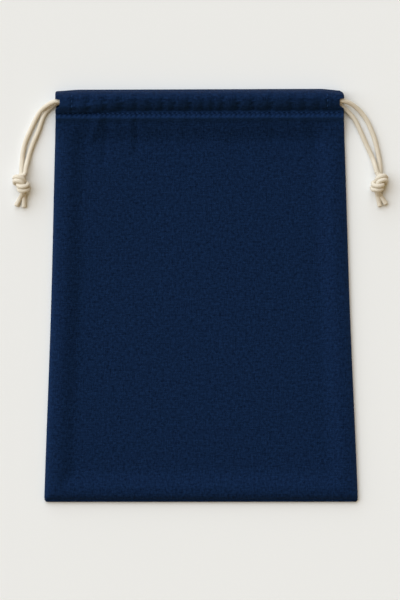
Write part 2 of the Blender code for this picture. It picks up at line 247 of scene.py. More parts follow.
def cotton_cord():
    """Ecru cotton: a fine braid with painted shade in its valleys, a deeper cream, and darker fibres and
    worn places, with a faint lengthwise streak.
    """
    shader = Shader("ecru_cord")
    place, around, along = uv_of(shader, "cord")
    one_way = (around * BRAID_STRANDS + along / BRAID_REPEAT).wave()
    other_way = (around * BRAID_STRANDS - along / BRAID_REPEAT).wave()
    braid = one_way.math("MAXIMUM", other_way)
    fibres = shader.speckle(stretched(shader, place, *FIBRES), 1.0, 3)
    worn = shader.speckle(stretched(shader, place, *WORN_PLACES), 1.0, 2)
    valley_shade_and_tone = (1 - braid) * 0.5 + (fibres - 0.5) * 0.5 + (worn - 0.5) * 0.45
    shader.fill(
        shader.surface,
        {
            "Base Color": shader.blend(valley_shade_and_tone.clamped(), ECRU, ECRU_DEEP),
            "Roughness": 0.72,
            "Specular IOR Level": 0.25,
            "Normal": shader.bump(braid * 0.6 + fibres * 0.4, 0.00012),
        },
    )
    return shader.material


def smooth_route(points, step, before=None):
    """A route's own points joined by one smooth curve, read every step or so."""
    before = before or 2 * points[0] - points[1]
    ends = [before] + points + [2 * points[-1] - points[-2]]
    read = [points[0]]
    for p0, p1, p2, p3 in zip(ends, ends[1:], ends[2:], ends[3:]):
        steps = max(1, round((p2 - p1).length / step))
        for t in [(k + 1) / steps for k in range(steps)]:
            bend = (2 * p0 - 5 * p1 + 4 * p2 - p3) * t**2 + (3 * p1 - p0 - 3 * p2 + p3) * t**3
            read.append(0.5 * (2 * p1 + (p2 - p0) * t + bend))
    return read


def length_of(path):
    return sum((b - a).length for a, b in zip(path, path[1:]))


def add_object(name, data):
    obj = bpy.data.objects.new(name, data)
    bpy.context.scene.collection.objects.link(obj)
    return obj


def cut_end(from_end):
    """How thick a cut cord is near its end, where the braid loosens and then stops."""
    loosened = 1 + CUT_FLARE * math.exp(-from_end / CUT_LENGTH)
    inside = min(from_end / CUT_ROUND, 1)
    return loosened * (0.5 + 0.5 * math.sqrt(1 - (1 - inside) ** 2))


def cord_mesh(name, path, sides, cut=False):
    """A tube of braided cord along a path, from a grid that is rolled up round it."""
    bm = bmesh.new()
    rings = len(path)
    bmesh.ops.create_grid(bm, x_segments=sides, y_segments=rings - 1, size=0.5)
    layer = bm.loops.layers.uv.new("cord")
    travelled = [0.0]
    for a, b in zip(path, path[1:]):
        travelled.append(travelled[-1] + (b - a).length)
    side = Vector((0, 0, 1))
    frames = []
    for i, at in enumerate(path):
        along = (path[min(i + 1, rings - 1)] - path[max(i - 1, 0)]).normalized()
        side = (side - along * side.dot(along)).normalized()
        frames.append((at, side, along.cross(side)))
    for v in bm.verts:
        i = round((v.co.y + 0.5) * (rings - 1))
        turn = v.co.x + 0.5
        ring = turn * BRAID_STRANDS
        along = travelled[i] / BRAID_REPEAT
        braid = max(math.sin(math.tau * (ring + along)), math.sin(math.tau * (ring - along)))
        radius = CORD_RADIUS - BRAID_RELIEF + BRAID_RELIEF * braid
        if cut:
            radius *= cut_end(travelled[-1] - travelled[i])
        at, side, other = frames[i]
        angle = math.tau * turn
        for loop in v.link_loops:
            loop[layer].uv = (turn, travelled[i])
        v.co = at + radius * (math.cos(angle) * side + math.sin(angle) * other)
    bmesh.ops.remove_doubles(bm, verts=bm.verts, dist=1e-7)
    rims = [e for e in bm.edges if e.is_boundary]
    bmesh.ops.holes_fill(bm, edges=rims)
    bmesh.ops.recalc_face_normals(bm, faces=bm.faces)
    mesh = bpy.data.meshes.new(name)
    bm.to_mesh(mesh)
    bm.free()
    mesh.shade_smooth()
    mesh.materials.append(CORD_FINISH)
    return mesh


CORD_FINISH = cotton_cord()


def strand_route(strand, side):
    exit_x, exit_y = MOUTH_WIDTH / 2, POUCH_LENGTH / 2 - EXIT_LANE
    return [Vector((side * (exit_x + out), exit_y - down, z)) for out, down, z in strand]


def smoothstep(t):
    t = min(max(t, 0), 1)
    return t * t * (3 - 2 * t)


def lane_at(across, left_end_lane):
    """How far below the mouth a cord lies in the casing: both move up towards it from the left end."""
    return left_end_lane - CORD_SPACING * smoothstep((across + CORD_TURN_X) / LANE_SHIFT)


def casing_route(side, left_end_lane, start, end):
    """In along the front casing, round the far ends of both hems, and back behind."""
    middle = (FRONT_CORD_HEIGHT + BACK_CORD_HEIGHT) / 2
    stops = [side * CORD_TURN_X * (1 - i / CASING_STOPS) for i in range(2 * CASING_STOPS + 1)]
    lane = [(x, POUCH_LENGTH / 2 - lane_at(x, left_end_lane)) for x in stops]
    turn_x, turn_y = lane[-1]
    turn = []
    for i in range(1, TURN_STEPS):
        angle = math.pi * i / TURN_STEPS
        x = turn_x - side * CORD_TURN_RADIUS * math.sin(angle)
        turn.append(Vector((x, turn_y, middle + CORD_TURN_RADIUS * math.cos(angle))))
    front = [Vector((x, y, FRONT_CORD_HEIGHT)) for x, y in lane]
    back = [Vector((x, y, BACK_CORD_HEIGHT)) for x, y in reversed(lane)]
    return [start] + front + turn + back + [end]


def drawcord_piece(name, path, sides, node, cut=False):
    piece = add_object(name, cord_mesh(name, path, sides, cut))
    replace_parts(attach(piece, "root"), node)
    return piece


# Knots: the two strands on each side are tied together in one overhand knot, pulled hard, and cut off
# 10 mm past it. The knot is tied here as it is by hand: loose at first, with the cords side by side,
# and then drawn tight, while no cord passes through another, stretches or bends too sharply.
ROPE = 0.0043  # what the two cords together are taken for at first
ROPE_BEND, CORD_BEND = 0.0030, 0.0017  # the tightest that each bends
ROPE_STEP, CORD_STEP = 0.0015, 0.0012
LOOSE_SIZE = 0.004
ROPE_PULL, CORD_PULL = 0.00025, 0.0001
ROPE_PULLS, CORD_PULLS = 240, 700
ROPE_ROUNDS, CORD_ROUNDS = 10, 8  # of settling after each pull
LOOSE_ROUNDS, DOUBLED_ROUNDS = 320, 240  # and before the first one
STRAIGHTENED, PARTED = 0.05, 0.35  # the share of a fault that one round mends
TREFOIL_TURN, TREFOIL_POINTS = 2.2, 3000  # the curve that the loose knot starts from
TREFOIL_WIDTH, TREFOIL_HEIGHT = 0.8, 0.16
TAUT = 1.02
DOUBLED_SIZE = 1.15  # the doubled knot, beside the single one
DOUBLED_POINTS = 70
BESIDE_GAP = 0.00005
BESIDE_ANGLE, BESIDE_TWIST = 1.66, 3.0  # so that the two cords lie side by side on the outside
KNOT_TURN = math.radians(290)
KNOT_SQUASH = np.array((0.97, 0.93, 0.76))  # across, along and up: it is pressed as it lies
CAST_REACH = 0.0030  # how far from the line of the cords a point of the knot's body lies
NECK = 0.0046  # above and below the knot's middle, where the strands go in and the tails come out
# From the same exits: each knot's middle, and from there its tails' ends on the table
LEFT_KNOT, LEFT_TAILS = (0.0216, 0.05245), ((0.0040, 0.0141), (-0.0010, 0.0150))
RIGHT_KNOT, RIGHT_TAILS = (0.0221, 0.05285), ((0.0049, 0.0134), (0.0009, 0.0148))
TAIL_DROP = 0.45  # of a tail's way, after which it lies on the table


def spaced(path, step):
    """A path's points, read again at even steps."""
    gone = np.r_[0, np.cumsum(np.linalg.norm(np.diff(path, axis=0), axis=1))]
    stops = np.linspace(0, gone[-1], round(gone[-1] / step) + 1)
    return np.stack([np.interp(stops, gone, path[:, k]) for k in range(3)], 1)


def least_distances(cords, points, step, thickness, bend):
    """How near any two points may come: a thickness, or less along one cord that bends."""
    cord = np.repeat(np.arange(cords), points)
    place = np.tile(np.arange(points), cords)
    along = np.abs(place[:, None] - place) * step
    chord = 2 * bend * np.sin(np.minimum(along / (2 * bend), np.pi / 2))
    same = cord[:, None] == cord
    least = np.where(same, np.minimum(thickness, chord * 0.999), thickness)
    least[same & (along < 1.5 * step)] = 0
    return least


def settled(cords, step, least, rounds):
    """Straightens the cords a little, parts what is too near, and restores their length."""
    shape = cords.shape
    for _ in range(rounds):
        cords[:, 1:-1] += STRAIGHTENED * ((cords[:, :-2] + cords[:, 2:]) / 2 - cords[:, 1:-1])
        flat = cords.reshape(-1, 3)
        apart = flat[:, None] - flat
        distance = np.sqrt((apart**2).sum(2)) + 1e-12
        short = np.clip(least - distance, 0, None)
        crowd = np.sqrt(np.maximum((short > 0).sum(1), 1))[:, None]
        flat = flat + PARTED * (apart * (short / distance)[..., None]).sum(1) / crowd
        cords = flat.reshape(shape)
        for first in (0, 1) * 3:
            after = cords[:, first + 1 :: 2]
            before = cords[:, first:-1:2][:, : after.shape[1]]
            link = after - before
            length = np.linalg.norm(link, axis=2)[..., None]
            shift = (length - step) / 2 * link / length
            before += shift
            after -= shift
    return cords


def pulled(cords, step, least, pull, pulls, rounds):
    """Draws the two ends of each cord apart, until it is taut."""
    for _ in range(pulls):
        length = np.linalg.norm(np.diff(cords, axis=1), axis=2) / step
        slack = np.maximum(length.mean(1), length[:, :5].mean(1)) < TAUT
        if not slack.any():
            break
        way = (cords[:, -1] - cords[:, 0]).mean(0)
        way = way / np.linalg.norm(way) * pull * slack[:, None]
        cords[:, 0] -= way
        cords[:, -1] += way
        cords = settled(cords, step, least, rounds)
    return cords


def across_of(path):
    """A direction across a path at each point, which turns no more than the path does."""
    ways = np.gradient(path, axis=0)
    ways /= np.linalg.norm(ways, axis=1)[:, None]
    sides = [np.cross(ways[0], (0, 0, 1))]
    for way in ways[1:]:
        sides.append(sides[-1] - way * (sides[-1] @ way))
    sides = np.array(sides)
    sides /= np.linalg.norm(sides, axis=1)[:, None]
    return sides, np.cross(ways, sides)


def tied_knot():
    """Two cords in one overhand knot: their points, with +Y the way that they come in."""
    turn = np.linspace(-TREFOIL_TURN, TREFOIL_TURN, TREFOIL_POINTS)
    width = TREFOIL_WIDTH * (turn**4 - 4 * turn**2)
    height = TREFOIL_HEIGHT * (turn**5 - 10 * turn)
    trefoil = np.stack([turn**3 - 3 * turn, width, height], 1)
    rope = spaced(trefoil * LOOSE_SIZE, ROPE_STEP)[None]
    least = least_distances(1, rope.shape[1], ROPE_STEP, ROPE, ROPE_BEND)
    rope = settled(rope, ROPE_STEP, least, LOOSE_ROUNDS)
    rope = pulled(rope, ROPE_STEP, least, ROPE_PULL, ROPE_PULLS, ROPE_ROUNDS)[0]
    way = rope[-1] - rope[0]
    way /= np.linalg.norm(way)
    across = np.cross(way, (0, 0, 1))
    across /= np.linalg.norm(across)
    rope = (rope - rope.mean(0)) @ np.stack([across, way, np.cross(across, way)], 1)

    rope = spaced(rope * DOUBLED_SIZE, CORD_STEP)
    first, second = across_of(rope)
    angle = BESIDE_ANGLE + BESIDE_TWIST * np.linspace(-1, 1, len(rope))[:, None]
    beside = (first * np.cos(angle) + second * np.sin(angle)) * (CORD_RADIUS + BESIDE_GAP)
    pair = [spaced(rope - beside, CORD_STEP), spaced(rope + beside, CORD_STEP)]
    points = DOUBLED_POINTS
    pair = np.array([cord[(len(cord) - points) // 2 :][:points] for cord in pair])
    least = least_distances(2, points, CORD_STEP, 2 * CORD_RADIUS, CORD_BEND)
    pair = settled(pair, CORD_STEP, least, DOUBLED_ROUNDS)
    return pulled(pair, CORD_STEP, least, CORD_PULL, CORD_PULLS, CORD_ROUNDS)


def knot_paths(tied, side, middle, strand_ends, tail_ends):
    """Where the two tied cords lie on one side of the pouch: one path each, from strand to cut end."""
    cos, sin = math.cos(KNOT_TURN), math.sin(KNOT_TURN)
    turned = tied @ np.array(((cos, 0, -sin), (0, 1, 0), (sin, 0, cos)))
    body = turned[np.hypot(tied[..., 0], tied[..., 2]) > CAST_REACH]
    turned = (turned - (body.max(0) + body.min(0)) / 2) * KNOT_SQUASH
    turned[..., 2] -= ((body.min(0) - body.max(0)) / 2 * KNOT_SQUASH)[2] - CORD_RADIUS
    if turned[0, 0, 1] < 0:
        turned = turned[:, ::-1]
    turned[..., 0] *= side
    inside = [[Vector(p) for p in cord] for cord in turned]
    cut = []
    for cord in inside:
        first = next(i for i, p in enumerate(cord) if p.y < NECK)
        last = next(i for i, p in reversed(list(enumerate(cord))) if p.y > -NECK)
        cut.append([p + middle for p in cord[first : last + 1]])
    cut.sort(key=lambda cord: cord[0].x)
    strands = sorted(strand_ends, key=lambda ends: ends[-1].x)
    tails = sorted(tail_ends, key=lambda end: end.x)
    lowest = sorted(cut, key=lambda cord: cord[-1].x)
    paths = []
    for cord, strand in zip(cut, strands):
        tail = tails[lowest.index(cord)]
        landing = cord[-1].lerp(tail, TAIL_DROP)
        landing.z = CORD_RADIUS
        points = [strand[-1]] + cord + [landing, tail]
        path = smooth_route(points, STRAND_STEP, before=strand[-2])
        paths.append([Vector((p.x, p.y, max(p.z, CORD_RADIUS * (1 + CUT_FLARE)))) for p in path])
    return paths


TIED = tied_knot()


def make_knot(node, side, knot, tails, strand_ends):
    exit_x, exit_y = MOUTH_WIDTH / 2, POUCH_LENGTH / 2 - EXIT_LANE
    out, down = knot
    middle = Vector((side * (exit_x + out), exit_y - down, 0))
    ends = [middle + Vector((side * x, -y, CORD_RADIUS)) for x, y in tails]
    pieces = []
    for part, path in zip(("inner", "outer"), knot_paths(TIED, side, middle, strand_ends, ends)):
        pieces.append(drawcord_piece(f"{node}_{part}", path, STRAND_SIDES, node, cut=True))
    return pieces


def make_drawcord(node, knot, side, front, back, left_end_lane, knot_place, tails):
    routes = {"front": strand_route(front, side), "back": strand_route(back, side)}
    inside = casing_route(side, left_end_lane, routes["front"][0], routes["back"][0])
    path = []
    for a, b in zip(inside, inside[1:]):
        steps = max(1, round((b - a).length / HIDDEN_STEP))
        path += [a.lerp(b, k / steps) for k in range(steps)]
    path.append(inside[-1])
    drawcord_piece(f"{node}_in_casing", path, HIDDEN_SIDES, node)
    knot_pieces = make_knot(knot, side, knot_place, tails, list(routes.values()))
    for part, route in routes.items():
        strand_path = smooth_route(route, STRAND_STEP)
        drawcord_piece(f"{node}_{part}", strand_path, STRAND_SIDES, node)
        length_of(strand_path)
        strand_path[::6] + [strand_path[-1]]


make_drawcord(
    "drawcord_left",
    "knot_left",
    -1,
    LEFT_FRONT_STRAND,
    LEFT_BACK_STRAND,
    EXIT_LANE,
    LEFT_KNOT,
    LEFT_TAILS,
)
make_drawcord(
    "drawcord_right",
    "knot_right",
    1,
    RIGHT_FRONT_STRAND,
    RIGHT_BACK_STRAND,
    LOWER_LANE,
    RIGHT_KNOT,
    RIGHT_TAILS,
)

# Panels: two pieces of navy cotton, cut alike. Each is hemmed at the mouth into a casing for the
# cords, and joined to the other down both sides and along the base with its edges turned inside.
BASE_WIDTH = 0.200
CLOTH = 0.0005
LAYER = 0.0008  # from one thickness to the next in the loose hems
PRESSED = 0.00056  # and in the seams, which are pressed flat
FOLD_RADIUS = PRESSED / 2
HEM_FOLD_RADIUS = LAYER / 2
SIDE_BOW = 0.0006
BASE_CORNER_RADIUS = 0.0023
SEAM_ALLOWANCE = 0.010
SIDE_FOLD_STEPS = 6
CASING_FOLD = 0.0023
HEM_DROOP = 0.0043  # from here to the mouth the hem comes down off its cord
BASE_SLANT = 0.0030  # the base is this much out of square
CASING_SEAM = 0.0152
CASING_SLOPE = 0.01145
CASING_FOOT = 0.0139  # where the outer side of the casing comes down on its hem
CASING_ROUNDNESS = 1.75
CASING_CROWN = 0.0070  # where its outer side begins to fall
LOW_LANE_FOOT, LOW_LANE_ROUNDNESS = 0.0020, 1.6  # what both gain where the lower cord lies lowest
END_FLATTENING, END_FLAT_LENGTH = 0.0004, 0.014
EXIT_NOTCH = 0.0027  # how far the front's end is drawn back where the cords come out
NOTCH_TOP, NOTCH_TOP_LENGTH = 0.0046, 0.0014
NOTCH_FOOT, NOTCH_FOOT_LENGTH = 0.0130, 0.0022
HEM_EDGE = 0.0185
HEM_TURNED_UNDER = 0.0045
CLOTH_SETTLE = 0.0160
BODY_TOP, BODY_FOOT = 0.060, 0.240  # between these the body is plain
BASE_FOLD = POUCH_LENGTH - FOLD_RADIUS - CLOTH / 2
STITCHES = 58  # across the casing's seam
GROOVE, GROOVE_REACH = 0.00045, 0.0006
RIDGE, RIDGE_DEPTH, RIDGE_REACH = 0.0016, 0.0179, 0.0019
GROOVE_MEAN, GROOVE_DIMPLE = 0.8, 0.2  # along the groove, between one stitch and the next
SCALLOP, SCALLOP_SLANT, SCALLOP_DEPTH = 0.00055, 0.5, 0.0165
SEAM_REACH = 0.008  # how far from the seam its stitches shape the cloth
COLUMNS = 5 * STITCHES
PITCH = MOUTH_WIDTH / STITCHES
CLOTH_MIDDLE = CLOTH / 2
BACK = {
    "lip": (0.0026, CLOTH_MIDDLE),
    "crest": CLOTH_MIDDLE,
    "crest_depth": CASING_FOLD,
    "casing_hem": 0.00435,
    "seam": CLOTH_MIDDLE,
    "turned": CLOTH_MIDDLE + LAYER,
    "hem": CLOTH_MIDDLE + 2 * LAYER,
    "body": CLOTH_MIDDLE,
    "allowance": CLOTH_MIDDLE + PRESSED,
}
FRONT = {
    "lip": (0.0040, 0.0056),
    "crest": 0.0097,
    "crest_depth": 0.0058,
    "casing_hem": 0.00545,
    "seam": 0.0050,
    "turned": 0.0042,
    "hem": 0.0034,
    "body": CLOTH_MIDDLE + 3 * PRESSED,
    "allowance": CLOTH_MIDDLE + 2 * PRESSED,
}
# How the front lies: puffed up over its springy seam allowances, then sunk onto the back
RIM_PUFF, RIM_PUFF_REACH = 0.0021, 0.0022
INNER_LEVEL = 0.0017
ROLLING, ROLLING_WIDTH, ROLLING_LENGTH, ROLLING_PLACE = 0.0005, 0.055, 0.075, 3.1
RIM_INNER, RIM_OUTER = 0.0075, 0.0200
# Where the drawn cloth of the casing puckers: across, depth of the pucker, half its width
PUCKERS = (
    (-0.0795, 0.0009, 0.0018),
    (-0.0706, 0.0013, 0.0022),
    (-0.0598, 0.0011, 0.0020),
    (-0.0496, 0.0013, 0.0024),
    (-0.0400, 0.0009, 0.0018),
    (-0.0311, 0.0010, 0.0020),
    (-0.0234, 0.0011, 0.0020),
    (-0.0164, 0.0009, 0.0017),
    (-0.0062, 0.0013, 0.0022),
    (0.0021, 0.0008, 0.0017),
    (0.0085, 0.0010, 0.0017),
    (0.0148, 0.0011, 0.0019),
    (0.0244, 0.0013, 0.0022),
    (0.0340, 0.0010, 0.0020),
    (0.0454, 0.0013, 0.0024),
    (0.0588, 0.0011, 0.0020),
    (0.0671, 0.0010, 0.0018),
    (0.0760, 0.0008, 0.0017),
)
# Painted light on the front's cloth: a painted highlight along its side edges (how far it reaches, and
# its share) and over the casing, and painted shade at the needle's holes
EDGE_HIGHLIGHT_REACH, EDGE_HIGHLIGHT_SHARE = 0.0018, 1.1
CASING_HIGHLIGHT = 0.45
HOLE_PAINTED_SHADE = 1.3  # painted shade: how dark the cloth is painted at the needle's holes
PUCKER_START, PUCKER_START_LENGTH = 0.002, 0.008
PUCKER_FLAT, PUCKER_FLAT_LENGTH, PUCKER_FLATTENED = 0.0125, 0.002, 0.7  # the hem holds them flatter
PUCKER_BELOW = 0.010  # the seam
PUFF = 0.0005  # how far the cloth stands off its cord between them
PUFF_START, PUFF_START_LENGTH = 0.0020, 0.0060
PUFF_END, PUFF_END_LENGTH = 0.0014, 0.0030  # above the seam
# Soft folds that the drawn casing pulls in the body: where each starts and ends, and its height
DRAG_FOLDS = (
    ((-0.0638, 0.0185), (-0.0695, 0.0323), 0.0007, 0.0026),
    ((-0.0585, 0.0195), (-0.0610, 0.0450), -0.0006, 0.0026),
    ((-0.0446, 0.0205), (-0.0452, 0.0386), 0.0004, 0.0022),
    ((-0.0400, 0.0205), (-0.0396, 0.0386), -0.0005, 0.0022),
    ((-0.0120, 0.0200), (-0.0150, 0.0340), 0.0003, 0.0024),
    ((0.0230, 0.0330), (0.0290, 0.0430), -0.0005, 0.0060),
    ((0.0460, 0.0200), (0.0480, 0.0300), -0.0005, 0.0030),
    ((0.0640, 0.0200), (0.0690, 0.0360), 0.0004, 0.0024),
    ((0.0700, 0.0200), (0.0760, 0.0340), -0.0004, 0.0024),
)
END_HEM = 0.0813  # how far from the middle the seam across each end of the casing runs
END_GROOVE, END_GROOVE_REACH = 0.0005, 0.0007
MOUTH_CORNER = {-1: 0.0016, 1: 0.0042}  # how round each end of the mouth is
MOUTH_DROOP = {-1: 0.0009, 1: 0.0012}  # and how far it droops
DROOP_LENGTH, DROOP_DEPTH = 0.016, 0.012


def hump(offset, width):
    return math.exp(-((offset / width) ** 2))


def half_width(depth):
    round_start = POUCH_LENGTH - BASE_CORNER_RADIUS
    t = min(max((depth - HEM_EDGE) / (round_start - HEM_EDGE), 0), 1)
    width = MOUTH_WIDTH + (BASE_WIDTH - MOUTH_WIDTH) * t
    bow = SIDE_BOW * math.sin(math.pi * t) ** 2
    into_corner = min(max(depth - round_start, 0), BASE_CORNER_RADIUS)
    corner = BASE_CORNER_RADIUS - math.sqrt(BASE_CORNER_RADIUS**2 - into_corner**2)
    return width / 2 - bow - corner


def stretch(start, end, steps, curve=lambda f: f):
    """Section points after start, up to and with end."""
    (s0, z0), (s1, z1) = start, end
    fractions = [(i + 1) / steps for i in range(steps)]
    return [(s0 + (s1 - s0) * f, z0 + (z1 - z0) * curve(f)) for f in fractions]


def half_turn(depth, z0, z1, direction, steps):
    middle, radius = (z0 + z1) / 2, abs(z1 - z0) / 2
    angles = [math.pi * (i + 1) / steps for i in range(steps)]
    return [
        (depth + direction * radius * math.sin(a), middle + (z0 - middle) * math.cos(a))
        for a in angles
    ]


def mouth_fold(level, steps):
    """The hem's way down to the crease at the mouth, then up over the cords: two lists of points."""
    under, over = level["lip"]
    turn = CLOTH / 2 + abs(over - under) / 2
    hem_side = stretch((HEM_DROOP, level["casing_hem"]), (turn, under), steps, smoothstep)
    outer_side = half_turn(turn, under, over, -1, steps)
    quarter = [math.pi / 2 * (i + 1) / steps for i in range(steps)]
    crest, crest_depth = level["crest"], level["crest_depth"]
    outer_side += [
        (crest_depth - (crest_depth - turn) * math.cos(a), over + (crest - over) * math.sin(a))
        for a in quarter
    ]
    return hem_side, outer_side


def casing_fall(level, across, depth):
    """Height of the casing's outer side, from its highest point down to the hem that closes it."""
    if level is BACK:
        return level["seam"]
    lowness = (lane_at(across, LOWER_LANE) - EXIT_LANE) / CORD_SPACING
    foot = CASING_FOOT + LOW_LANE_FOOT * lowness
    f = min(max((depth - level["crest_depth"]) / (foot - level["crest_depth"]), 0), 1)
    crest = level["crest"] - end_flattening(across)
    return crest + (level["seam"] - crest) * f ** (CASING_ROUNDNESS + LOW_LANE_ROUNDNESS * lowness)


def end_flattening(across):
    """How much lower the casing is at its ends, which the hems there hold down."""
    return END_FLATTENING * smoothstep(1 - (half_width(0) - abs(across)) / END_FLAT_LENGTH)


def over_cords(across, depth, height):
    """The height of cloth that can't sink into the cords under it."""
    clear = CORD_RADIUS + CLOTH / 2 + 0.0001
    for left_end_lane in (EXIT_LANE, LOWER_LANE):
        off = depth - lane_at(across, left_end_lane)
        if abs(off) < clear:
            height = max(height, FRONT_CORD_HEIGHT + math.sqrt(clear**2 - off**2))
    return height


def body_height(level, across, depth):
    """Height of the body: level in the back, and in the front as it lies over its seam allowances."""
    if level is BACK:
        return level["body"]
    inward = min(half_width(depth) - abs(across), POUCH_LENGTH - depth)
    inward = max(inward, 0)
    rim = level["body"] + RIM_PUFF * (1 - math.exp(-inward / RIM_PUFF_REACH))
    rolling = noise.noise(Vector((across / ROLLING_WIDTH, depth / ROLLING_LENGTH, ROLLING_PLACE)))
    inner = INNER_LEVEL + ROLLING * rolling
    return rim + (inner - rim) * smoothstep((inward - RIM_INNER) / (RIM_OUTER - RIM_INNER))


def section_rows(level):
    """Rows of a panel along the cloth: (depth, height or None, half width, kind)."""
    raw_edge = (HEM_EDGE - HEM_TURNED_UNDER, level["turned"])
    under = [raw_edge] + stretch(raw_edge, (HEM_EDGE - HEM_FOLD_RADIUS, level["turned"]), 2)
    under += half_turn(HEM_EDGE - HEM_FOLD_RADIUS, level["turned"], level["hem"], 1, 5)
    under += stretch(under[-1], (CASING_SEAM, level["hem"]), 2)
    under += stretch(under[-1], (CASING_SLOPE, level["casing_hem"]), 5, smoothstep)
    under += stretch(under[-1], (HEM_DROOP, level["casing_hem"]), 3)
    rows = [(s, z, CORD_TURN_X, "inner") for s, z in under]
    hem_side, over = mouth_fold(level, 8)
    for s, z in hem_side:
        widened = smoothstep((CASING_FOLD - s) / (CASING_FOLD - hem_side[-1][0]))
        rows.append((s, z, CORD_TURN_X + (half_width(s) - CORD_TURN_X) * widened, "inner"))
    rows += [(s, z, half_width(s), "fold") for s, z in over]
    fall = stretch(over[-1], (CASING_SEAM - GROOVE_REACH, level["seam"]), 21)
    fall += stretch(fall[-1], (CASING_SEAM + GROOVE_REACH, level["seam"]), 8)
    for s, _ in fall:
        opened = smoothstep((s - NOTCH_TOP) / NOTCH_TOP_LENGTH)
        drawn_back = EXIT_NOTCH * opened * smoothstep((NOTCH_FOOT - s) / NOTCH_FOOT_LENGTH)
        rows.append((s, None, half_width(s) - (drawn_back if level is FRONT else 0), "casing"))
    settled = HEM_EDGE + CLOTH_SETTLE
    lowest_side = POUCH_LENGTH - BASE_CORNER_RADIUS
    body = stretch(fall[-1], (HEM_EDGE + PRESSED, 0), 14)
    body += stretch(body[-1], (settled, 0), 12)
    body += stretch(body[-1], (BODY_TOP, 0), 13)
    body += stretch(body[-1], (BODY_FOOT, 0), 17)
    body += stretch(body[-1], (lowest_side, 0), 7)
    rows += [(s, None, half_width(s), "body") for s, _ in body]
    base = stretch((lowest_side, level["body"]), (BASE_FOLD, level["body"]), 3)
    base += half_turn(BASE_FOLD, level["body"], level["allowance"], 1, 6)
    rows += [(s, z, half_width(s), "base") for s, z in base]
    trimmed = BASE_WIDTH / 2 - SEAM_ALLOWANCE - LAYER
    flap = [(BASE_FOLD - FOLD_RADIUS, level["allowance"])]
    flap += stretch(flap[0], (POUCH_LENGTH - SEAM_ALLOWANCE, level["allowance"]), 3)
    rows += [(s, z, trimmed, "flap") for s, z in flap]
    return rows


def puffed_at(depth):
    """How freely the cloth over the cords stands up, from 0 to 1."""
    end = smoothstep((CASING_SEAM - PUFF_END - depth) / PUFF_END_LENGTH)
    return smoothstep((depth - PUFF_START) / PUFF_START_LENGTH) * end


def pucker_at(across, depth):
    """How deep the cloth dips into the puckers along the seam."""
    flattened = PUCKER_FLATTENED * smoothstep((depth - PUCKER_FLAT) / PUCKER_FLAT_LENGTH)
    above = smoothstep((depth - PUCKER_START) / PUCKER_START_LENGTH) * (1 - flattened)
    below = 1 - smoothstep((depth - CASING_SEAM) / PUCKER_BELOW)
    reach = above * below
    if reach < 0.001:
        return 0
    return reach * sum(deep * hump(across - at, wide) for at, deep, wide in PUCKERS)


def dragged_at(across, depth):
    """How far the soft folds below the casing stand up."""
    rise = 0
    for (x0, s0), (x1, s1), high, wide in DRAG_FOLDS:
        way = Vector((x1 - x0, s1 - s0))
        along = Vector((across - x0, depth - s0)).dot(way) / way.length_squared
        if -0.5 < along < 1.6:
            nearest = min(max(along, 0), 1)
            off = (Vector((across - x0, depth - s0)) - way * nearest).length
            rise += high * hump(off, wide)
    return rise


def stitched_at(across, depth):
    """The grooves that the stitches pull, and the hem's ridge that puffs up between them."""
    end_seam = END_GROOVE * hump(abs(across) - END_HEM, END_GROOVE_REACH)
    end_seam *= smoothstep((CASING_SEAM - depth) / 0.002) * smoothstep(depth / 0.004)
    if abs(depth - CASING_SEAM) > SEAM_REACH:
        return -end_seam
    stitch = math.cos(math.tau * across / PITCH)
    slant = math.cos(math.tau * (across + SCALLOP_SLANT * (depth - SCALLOP_DEPTH)) / PITCH)
    groove = GROOVE * hump(depth - CASING_SEAM, GROOVE_REACH / 2)
    groove *= GROOVE_MEAN - GROOVE_DIMPLE * stitch
    ridge = RIDGE * hump(depth - RIDGE_DEPTH, RIDGE_REACH)
    scallop = SCALLOP * hump(depth - (CASING_SEAM + RIDGE_DEPTH) / 2, RIDGE_REACH / 2) * slant
    return ridge + scallop - groove - end_seam


def drape(level, depth, height, half, kind, share):
    """Where one point of a panel lies. share runs from -1 to 1 across the row."""
    reach = half - FOLD_RADIUS - CLOTH / 2 if kind == "body" else half
    side = math.copysign(1, share)
    if depth < MOUTH_CORNER[side]:
        radius = MOUTH_CORNER[side]
        reach -= radius - math.sqrt(radius**2 - (radius - depth) ** 2)
    across = reach * share
    if kind == "casing":
        height = casing_fall(level, across, depth)
    elif kind == "body":
        height = body_height(level, across, depth)
        to_body = smoothstep((depth - HEM_EDGE - PRESSED) / (CLOTH_SETTLE - PRESSED))
        height = level["seam"] + (height - level["seam"]) * to_body
    if level is FRONT and kind in ("casing", "body"):
        height += stitched_at(across, depth) + dragged_at(across, depth)
        height += PUFF * puffed_at(depth) - pucker_at(across, depth)
        height = over_cords(across, depth, height)
    if level is FRONT and kind == "fold":
        height -= end_flattening(across) * smoothstep((height - level["casing_hem"]) / 0.005)
        height += PUFF * puffed_at(depth) - pucker_at(across, depth)
        if height > FRONT_CORD_HEIGHT:
            height = over_cords(across, depth, height)
    droop = MOUTH_DROOP[side] * smoothstep(1 - (half_width(0) - abs(across)) / DROOP_LENGTH)
    slant = BASE_SLANT * across * (depth / POUCH_LENGTH) ** 2
    down = droop * (1 - smoothstep(depth / DROOP_DEPTH)) + slant
    return Vector((across, POUCH_LENGTH / 2 - depth - down, height))


